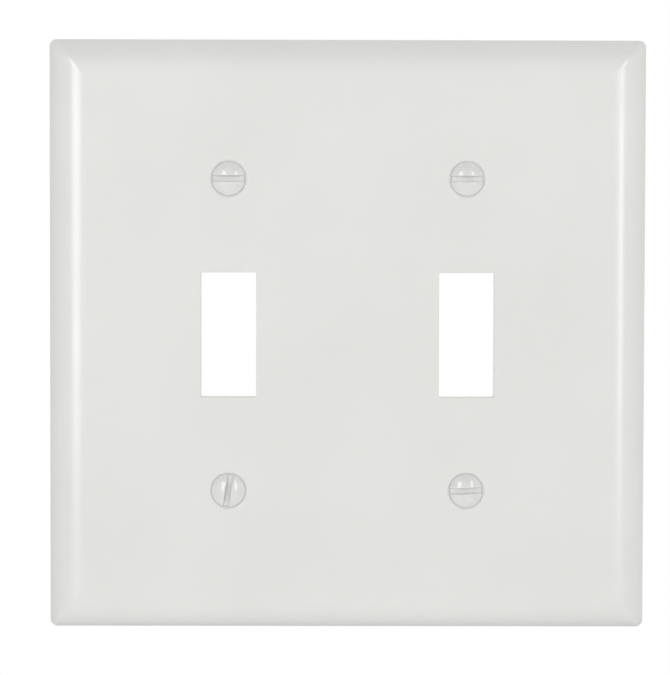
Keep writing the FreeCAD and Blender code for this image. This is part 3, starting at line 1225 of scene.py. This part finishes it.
@dataclass
class OvalHeadScrew:
    """A slotted oval-head machine screw: painted head, plain neck, rolled right-hand thread."""

    corner: Corner
    centre: Vector
    face_y: float
    tip_y: float
    thread_start_y: float
    head_sink: float = 0.345 * MM
    head_radius: float = 3.23 * MM
    head_rim: float = 0.10 * MM
    head_round: float = 0.05 * MM
    cone_slope: float = math.tan(math.radians(41.0))
    dome_radius: float = 6.07 * MM
    slot_width: float = 1.17 * MM
    slot_depth: float = 1.25 * MM
    slot_lip: float = 0.09 * MM
    slot_root: float = 0.16 * MM
    neck_radius: float = 1.475 * MM
    crest_radius: float = 1.74 * MM
    root_radius: float = 1.27 * MM
    pitch: float = 0.794 * MM
    tip_chamfer: float = 0.5 * MM
    seam_gap: float = 0.08 * MM
    half_points: int = 40
    dome_rows: int = 14
    round_steps: int = 4
    wall_steps: int = 5
    side_steps: int = 6
    rings_per_pitch: int = 20
    shading_angle: float = 50.0

    @property
    def cone_top_y(self) -> float:
        """Where the head's cone is widest."""
        return self.face_y + self.head_sink

    @property
    def dome_top_y(self) -> float:
        """The top of the dome, as if there were no slot."""
        rise = self.dome_radius - math.sqrt(self.dome_radius**2 - self.head_radius**2)
        return self.cone_top_y - self.head_rim - rise

    @property
    def slot_floor_y(self) -> float:
        """The bottom of the slot."""
        return self.dome_top_y + self.slot_depth

    def dome_y(self, across: float) -> float:
        """The dome's surface, at a distance from the screw's axis."""
        return self.dome_top_y + self.dome_radius - math.sqrt(self.dome_radius**2 - across**2)

    def side_radius(self, y: float) -> float:
        """The radius of the head's side: rounded edge, short rim, cone, neck.

        Args:
            y: where along the screw.

        Returns:
            The radius there.
        """
        edge_y = self.dome_y(self.head_radius - self.head_round)
        below = y - edge_y
        if below < self.head_round:
            left = 1 - below / self.head_round
            return self.head_radius - self.head_round * (1 - math.sqrt(1 - left**2))
        cone = self.head_radius - max(0.0, y - self.cone_top_y) * self.cone_slope
        return max(self.neck_radius, min(self.head_radius, cone))

    def point(self, along: float, across: float, y: float) -> Vector:
        """Place a point given by the slot.

        Args:
            along: how far it is from the screw's axis along the slot.
            across: how far it is from the axis across the slot.
            y: where along the screw.

        Returns:
            The point in the plate's frame.
        """
        turn = self.corner.slot_turn
        x = self.centre.x + along * math.cos(turn) - across * math.sin(turn)
        z = self.centre.z + along * math.sin(turn) + across * math.cos(turn)
        return Vector((x, y, z))

    def wall_rows(self) -> list[tuple[float, float, float]]:
        """The slot's wall from its lip to its root.

        Returns:
            Rows of (y at the rim, distance from the slot's middle, share of the dome's rise).
        """
        edge_y = self.dome_y(self.head_radius - self.head_round)
        half = self.slot_width / 2
        rows = []
        for angle in quarter_turn(self.round_steps):
            y = edge_y + self.slot_lip * (1 - math.cos(angle))
            rows.append((y, half + self.slot_lip * (1 - math.sin(angle)), 1.0))
        top_y = rows[-1][0]
        low_y = self.slot_floor_y - self.slot_root
        for step in range(1, self.wall_steps + 1):
            share = step / self.wall_steps
            rows.append((top_y + (low_y - top_y) * share, half, 1 - share))
        return rows

    def half_head(self, skin: Skin, side: int) -> list[Vector]:
        """Lay one half of the head: its dome, its side, and the slot's wall.

        Args:
            skin: the mesh to add to.
            side: 1 for the half above the slot and -1 for the one below.

        Returns:
            The side's last row of points, where the slot has run out.
        """
        rows = self.wall_rows()
        edge_y, lip, _ = rows[0]
        steps = [i / self.half_points for i in range(self.half_points + 1)]
        flat_radius = self.side_radius(edge_y)
        reach = math.sqrt(flat_radius**2 - lip**2)
        start = math.asin(lip / flat_radius)

        def on_dome(along: float, across: float) -> Vector:
            """The dome's point over a place beside the slot."""
            return self.point(side * along, side * across, self.dome_y(math.hypot(along, across)))

        dome = []
        for row in range(self.dome_rows + 1):
            share = row / self.dome_rows
            line = []
            for step in steps:
                angle = math.pi - start - (math.pi - 2 * start) * step
                chord = Vector((reach * (2 * step - 1), lip))
                arc = Vector((flat_radius * math.cos(angle), flat_radius * math.sin(angle)))
                spot = chord.lerp(arc, share)
                line.append(on_dome(spot.x, spot.y))
            dome.append(line)
        skin.grid(dome)
        sides, wall = [], []
        for y, across, share in rows:
            radius = self.side_radius(y)
            start_here = math.asin(across / radius)
            reach_here = math.sqrt(radius**2 - across**2)
            side_line, wall_line = [], []
            for step in steps:
                angle = math.pi - start_here - (math.pi - 2 * start_here) * step
                rim_along, rim_across = radius * math.cos(angle), radius * math.sin(angle)
                side_line.append(self.point(side * rim_along, side * rim_across, y))
                swell = self.dome_y(math.hypot(reach * (2 * step - 1), lip)) - edge_y
                wall_along = reach_here * (2 * step - 1)
                wall_line.append(self.point(side * wall_along, side * across, y + swell * share))
            sides.append(side_line)
            wall.append(wall_line)
        skin.grid(sides)
        skin.grid(wall)
        return sides[-1]

    def slot_floor(self, skin: Skin) -> tuple[list[Vector], list[Vector]]:
        """Lay the slot's floor, with rounded roots.

        Args:
            skin: the mesh to add to.

        Returns:
            The points down its right end and its left end, without the corners.
        """
        half = self.slot_width / 2
        root = self.slot_root
        section = []
        for angle in quarter_turn(self.round_steps):
            y = self.slot_floor_y - root * (1 - math.sin(angle))
            section.append((half - root * (1 - math.cos(angle)), y))
        section += [(-across, y) for across, y in reversed(section)]
        shares = [2 * i / self.half_points - 1 for i in range(self.half_points + 1)]
        rows = []
        for across, y in section:
            reach = math.sqrt(self.side_radius(y) ** 2 - across**2)
            rows.append([self.point(reach * share, across, y) for share in shares])
        skin.grid(rows)
        inner = rows[1:-1]
        return [row[-1] for row in inner], [row[0] for row in inner]

    def blank(self) -> bpy.types.Mesh:
        """The screw before its thread is rolled.

        Returns:
            A closed mesh.
        """
        skin = Skin()
        upper = self.half_head(skin, 1)
        lower = self.half_head(skin, -1)
        right, left = self.slot_floor(skin)
        seam = upper + right + lower + list(reversed(left))
        angles = [math.atan2(p.z - self.centre.z, p.x - self.centre.x) for p in seam]
        cone_end_y = self.cone_top_y + (self.head_radius - self.neck_radius) / self.cone_slope

        def ring(y: float) -> list[Vector]:
            """The side's points at y, in line with the seam's."""
            return circle(self.side_radius(y), y, self.centre, angles)

        cone = between(self.slot_floor_y + self.seam_gap, cone_end_y, self.side_steps)
        skin.grid([seam] + [ring(y) for y in cone], ring=True)
        neck = between(cone_end_y, self.thread_start_y, self.side_steps)
        fine = self.pitch / self.rings_per_pitch
        count = math.ceil((self.tip_y - self.thread_start_y) / fine)
        shank = between(self.thread_start_y, self.tip_y, count)[1:]
        rings = [ring(y) for y in neck + shank]
        skin.grid(rings, ring=True, face=Face.HIDDEN)
        skin.cap(rings[-1], face=Face.HIDDEN)
        return skin.close("screw_blank")

    def build(self, thread: ShapeTree) -> bpy.types.Object:
        """Roll the thread on the blank and place the screw.

        Args:
            thread: the node tree that rolls a thread.

        Returns:
            The finished piece.
        """
        sizes = {
            "Axis X": self.centre.x,
            "Axis Z": self.centre.z,
            "Start": self.thread_start_y,
            "End": self.tip_y,
            "Pitch": self.pitch,
            "Neck Radius": self.neck_radius,
            "Root Radius": self.root_radius,
            "Crest Radius": self.crest_radius,
            "Tip Chamfer": self.tip_chamfer,
        }
        mesh = thread.shape(self.blank(), sizes)
        return place_object(f"painted_screw_{self.corner.value}", shade(mesh, self.shading_angle))


def thread_tree(finishes: Sequence[bpy.types.Material]) -> ShapeTree:
    """The node tree that rolls a right-hand thread on a round blank along Y.

    Args:
        finishes: the head's paint and the shank's plating.

    Returns:
        The tree, whose named inputs are the thread's sizes.
    """
    tree = ShapeTree("rolled_thread")
    axis_x, axis_z = tree.size_input("Axis X"), tree.size_input("Axis Z")
    start, end = tree.size_input("Start"), tree.size_input("End")
    pitch, neck = tree.size_input("Pitch"), tree.size_input("Neck Radius")
    root, crest = tree.size_input("Root Radius"), tree.size_input("Crest Radius")
    chamfer = tree.size_input("Tip Chamfer")
    spot = tree.add("ShaderNodeSeparateXYZ")
    tree.feed(spot.inputs[0], tree.add("GeometryNodeInputPosition").outputs[0])
    dx = tree.math("SUBTRACT", spot.outputs["X"], axis_x)
    dz = tree.math("SUBTRACT", spot.outputs["Z"], axis_z)
    y = spot.outputs["Y"]
    turn = tree.math("DIVIDE", tree.math("ARCTAN2", dx, dz), math.tau)
    climb = tree.math("DIVIDE", tree.math("SUBTRACT", y, start), pitch)
    phase = tree.math("FRACT", tree.math("SUBTRACT", climb, turn))
    from_crest = tree.math("ABSOLUTE", tree.math("SUBTRACT", phase, 0.5))
    height = tree.ramp(from_crest, (ROOT_FLANK, CREST_FLANK))
    rolled = tree.math("ADD", root, tree.math("MULTIPLY", tree.math("SUBTRACT", crest, root), height))
    run_in = tree.math("MULTIPLY", climb, THREAD_LEAD)
    lead = tree.math("MINIMUM", tree.math("MAXIMUM", run_in, 0.0), 1.0)
    reach = tree.math("ADD", neck, tree.math("MULTIPLY", tree.math("SUBTRACT", rolled, neck), lead))
    tip = tree.math("ADD", tree.math("SUBTRACT", crest, chamfer), tree.math("SUBTRACT", end, y))
    radius = tree.math("MINIMUM", reach, tip)
    square = tree.math("ADD", tree.math("MULTIPLY", dx, dx), tree.math("MULTIPLY", dz, dz))
    across = tree.math("SQRT", square)
    scale = tree.math("DIVIDE", radius, across)
    moved = tree.add("ShaderNodeCombineXYZ")
    tree.feed(moved.inputs["X"], tree.math("ADD", axis_x, tree.math("MULTIPLY", dx, scale)))
    tree.feed(moved.inputs["Y"], y)
    tree.feed(moved.inputs["Z"], tree.math("ADD", axis_z, tree.math("MULTIPLY", dz, scale)))
    on_shank = tree.math("GREATER_THAN", y, start)
    roll = tree.add("GeometryNodeSetPosition")
    tree.feed(roll.inputs["Geometry"], tree.base)
    tree.feed(roll.inputs["Selection"], on_shank)
    tree.feed(roll.inputs["Position"], moved.outputs[0])
    mark = tree.add("GeometryNodeStoreNamedAttribute", data_type="FLOAT", domain="POINT")
    mark.inputs["Name"].default_value = ZincPlating().crest_attribute
    tree.feed(mark.inputs["Geometry"], roll.outputs["Geometry"])
    final = tree.math("SUBTRACT", radius, root)
    tree.feed(mark.inputs["Value"], tree.math("DIVIDE", final, tree.math("SUBTRACT", crest, root)))
    tree.end(mark.outputs["Geometry"], finishes)
    return tree


# ---- Retaining washers -----------------------------------------------------------------------------


@dataclass
class RetainingWasher:
    """A pressed fibre washer that keeps its screw in the plate."""

    corner: Corner
    centre: Vector
    outer_radius: float
    thickness: float
    bore_radius: float = 1.545 * MM
    edge: float = 0.14 * MM
    shading_angle: float = 50.0

    def build(self, pressing: ShapeTree) -> bpy.types.Object:
        """Press the washer and place it.

        Args:
            pressing: the node tree that makes a washer.

        Returns:
            The finished piece.
        """
        sizes = {
            "Centre": self.centre,
            "Middle Radius": (self.outer_radius + self.bore_radius) / 2,
            "Width": self.outer_radius - self.bore_radius,
            "Thickness": self.thickness,
            "Edge": self.edge,
        }
        mesh = pressing.shape(bpy.data.meshes.new("nothing"), sizes)
        return place_object(f"fibre_washer_{self.corner.value}", shade(mesh, self.shading_angle))


def washer_tree(finish: bpy.types.Material) -> ShapeTree:
    """The node tree that sweeps a rounded section round a circle along Y.

    Args:
        finish: the washer's material.

    Returns:
        The tree, whose named inputs are the washer's place and sizes.
    """
    tree = ShapeTree("washer_pressing")
    centre = tree.size_input("Centre", "NodeSocketVector")
    path = tree.add("GeometryNodeCurvePrimitiveCircle", mode="RADIUS")
    path.inputs["Resolution"].default_value = WASHER_POINTS
    tree.feed(path.inputs["Radius"], tree.size_input("Middle Radius"))
    section = tree.add("GeometryNodeCurvePrimitiveQuadrilateral", mode="RECTANGLE")
    tree.feed(section.inputs["Width"], tree.size_input("Width"))
    tree.feed(section.inputs["Height"], tree.size_input("Thickness"))
    rounded = tree.add("GeometryNodeFilletCurve", mode="POLY")
    rounded.inputs["Count"].default_value = WASHER_EDGE_STEPS
    tree.feed(rounded.inputs["Curve"], section.outputs[0])
    tree.feed(rounded.inputs["Radius"], tree.size_input("Edge"))
    sweep = tree.add("GeometryNodeCurveToMesh")
    tree.feed(sweep.inputs["Curve"], path.outputs[0])
    tree.feed(sweep.inputs["Profile Curve"], rounded.outputs[0])
    stand = tree.add("GeometryNodeTransform")
    tree.feed(stand.inputs["Geometry"], sweep.outputs[0])
    tree.feed(stand.inputs["Translation"], centre)
    stand.inputs["Rotation"].default_value = (math.pi / 2, 0, 0)
    tree.end(stand.outputs["Geometry"], [finish])
    return tree


# ---- Studio ----------------------------------------------------------------------------------------


@dataclass
class Softbox:
    """A tall soft light, placed as seen from the plate's front."""

    azimuth: float
    width: float
    radiance: float
    elevation: float = 11.0
    distance: float = 1.5
    height: float = 0.92

    def build(self) -> None:
        """Place the light, facing the plate."""
        data = bpy.data.lights.new("softbox", "AREA")
        data.shape = "RECTANGLE"
        data.size = self.width
        data.size_y = self.height
        data.energy = self.radiance * math.pi * self.width * self.height
        light = bpy.data.objects.new("softbox", data)
        light.matrix_world = facing(self.azimuth, self.elevation, self.distance, Vector((0, 0, 0)))
        bpy.context.scene.collection.objects.link(light)


def facing(
    azimuth: float, elevation: float, distance: float, target: Vector, roll: float = 0.0
) -> Matrix:
    """The placement of a lamp or camera that looks at a target.

    Args:
        azimuth: in degrees, to the right of the plate's front.
        elevation: in degrees above the level.
        distance: from the target.
        target: the point looked at.
        roll: in degrees about the line of sight.

    Returns:
        The matrix, for a device that looks along its own -Z.
    """
    side, lift = math.radians(azimuth), math.radians(elevation)
    back = Vector((math.sin(side) * math.cos(lift), -math.cos(side) * math.cos(lift), math.sin(lift)))
    turn = back.to_track_quat("Z", "Y").to_matrix().to_4x4()
    tilt = Matrix.Rotation(math.radians(roll), 4, "Z")
    return Matrix.Translation(target + distance * back) @ turn @ tilt


@dataclass
class Studio:
    """A white room with a pale floor, two tall softboxes and a camera square to the plate."""

    room: float = 0.22
    room_band: float = 0.78
    band_edges: tuple[float, float] = (0.22, 0.40)
    backdrop: float = 0.89
    backdrop_edges: tuple[float, float] = (-0.35, 0.15)
    lean_right: float = 0.09
    lean_up: float = 0.08
    backdrop_colour: tuple[float, ...] = rgb(1.0, 1.0, 1.0)
    room_colour: tuple[float, ...] = rgb(1.0, 1.0, 0.99)
    floor_drop: float = 0.30
    floor_size: float = 2.4
    floor_dark: tuple[float, ...] = rgb(0.80, 0.80, 0.80)
    floor_pale: tuple[float, ...] = rgb(0.85, 0.85, 0.85)
    floor_cloud: float = 0.2
    floor_roughness: float = 0.9
    floor_grain: float = 0.004
    floor_grain_depth: float = 0.0002
    camera_azimuth: float = -0.36
    camera_elevation: float = 2.27
    camera_distance: float = 0.516
    camera_target: Vector = Vector((-2.40 * MM, 0.0, -0.695 * MM))
    camera_roll: float = 0.135
    lens: float = 140.86
    sensor: float = 36.0

    def build(self) -> None:
        """Set the whole stage."""
        self.build_world()
        self.build_floor()
        Softbox(azimuth=-21.2, width=0.34, radiance=6.4).build()
        Softbox(azimuth=25.6, width=0.18, radiance=7.8).build()
        self.build_camera()
        bpy.context.scene.view_settings.view_transform = "Standard"

    def build_world(self) -> None:
        """A white backdrop, seen behind the plate and at its sides, and a dimmer room in front."""
        world = bpy.data.worlds.new("white_room")
        world.use_nodes = True
        bpy.context.scene.world = world
        wiring = Wiring(world.node_tree)
        wiring.tree.nodes.clear()
        way = wiring.add("ShaderNodeSeparateXYZ")
        wiring.feed(way.inputs[0], wiring.add("ShaderNodeTexCoord").outputs["Generated"])
        off_level = wiring.math("ABSOLUTE", way.outputs["Z"])
        in_front = wiring.ramp(off_level, self.band_edges, (self.room_band, self.room))
        strength = wiring.ramp(way.outputs["Y"], self.backdrop_edges, (in_front, self.backdrop))
        sideways = wiring.math("MULTIPLY_ADD", way.outputs["X"], self.lean_right, 1.0)
        upwards = wiring.math("MULTIPLY_ADD", way.outputs["Z"], self.lean_up, sideways)
        seen = wiring.add("ShaderNodeBackground")
        seen.inputs["Color"].default_value = self.backdrop_colour
        lighting = wiring.add("ShaderNodeBackground")
        lighting.inputs["Color"].default_value = self.room_colour
        wiring.feed(lighting.inputs["Strength"], wiring.math("MULTIPLY", strength, upwards))
        mix = wiring.add("ShaderNodeMixShader")
        wiring.feed(mix.inputs[0], wiring.add("ShaderNodeLightPath").outputs["Is Camera Ray"])
        wiring.feed(mix.inputs[1], lighting.outputs[0])
        wiring.feed(mix.inputs[2], seen.outputs[0])
        output = wiring.add("ShaderNodeOutputWorld")
        wiring.feed(output.inputs[0], mix.outputs[0])

    def build_floor(self) -> None:
        """A plain pale floor, well below the plate."""
        half = self.floor_size / 2
        corners = [(-half, -half), (half, -half), (half, half), (-half, half)]
        mesh = bpy.data.meshes.new("floor")
        mesh.from_pydata([(x, y, -self.floor_drop) for x, y in corners], [], [(0, 1, 2, 3)])
        floor = place_object("floor", mesh)
        box = Paintbox("pale_floor")
        colour = box.blend(box.noise(self.floor_cloud), self.floor_dark, self.floor_pale)
        grain = box.relief(box.noise(self.floor_grain), self.floor_grain_depth)
        mesh.materials.append(box.dress(colour, self.floor_roughness, grain))

    def build_camera(self) -> None:
        """The camera, and the scene's choice of it."""
        data = bpy.data.cameras.new("camera")
        data.lens = self.lens
        data.sensor_width = self.sensor
        data.sensor_height = self.sensor
        data.sensor_fit = "AUTO"
        camera = bpy.data.objects.new("camera", data)
        camera.matrix_world = facing(
            self.camera_azimuth,
            self.camera_elevation,
            self.camera_distance,
            self.camera_target,
            self.camera_roll,
        )
        bpy.context.scene.collection.objects.link(camera)
        bpy.context.scene.camera = camera


# ---- Assembly --------------------------------------------------------------------------------------


def middle(node: str) -> Vector:
    """The middle of a CAD node's box."""
    low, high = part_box(node)
    return (low + high) / 2


def hand_over(piece: bpy.types.Object, body: str, node: str) -> None:
    """Fix a finished piece to the frame.

    Args:
        piece: the finished object.
        body: the body that it moves with.
        node: the CAD node that it stands for.
    """
    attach(piece, body)
    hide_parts(node)
    log.info("%s: %d faces on %s", piece.name, len(piece.data.polygons), body)


def main() -> None:
    """Build the plate, its screws and washers, and the studio."""
    logging.basicConfig(level=logging.INFO, format="%(name)s: %(message)s")
    plate_low, plate_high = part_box("wall_plate")
    places = {corner: middle(f"retaining_washer_{corner.value}") for corner in Corner}
    plate = WallPlate(plate_low, plate_high, places).build()
    hand_over(plate, "plate", "wall_plate")

    thread = thread_tree([HeadPaint().material(), ZincPlating().material()])
    pressing = washer_tree(PressedFibre().material())
    for corner in Corner:
        place = places[corner]
        washer_node = f"retaining_washer_{corner.value}"
        low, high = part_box(washer_node)
        washer = RetainingWasher(corner, place, (high.x - low.x) / 2, high.y - low.y)
        hand_over(washer.build(pressing), f"washer_{corner.value}", washer_node)
        screw_name = f"screw_{corner.value}"
        tip_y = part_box(screw_name)[1].y
        screw = OvalHeadScrew(corner, place, plate_low.y, tip_y, high.y + WASHER_THREAD_GAP)
        hand_over(screw.build(thread), screw_name, screw_name)

    Studio().build()


if __name__ == "__main__":
    main()
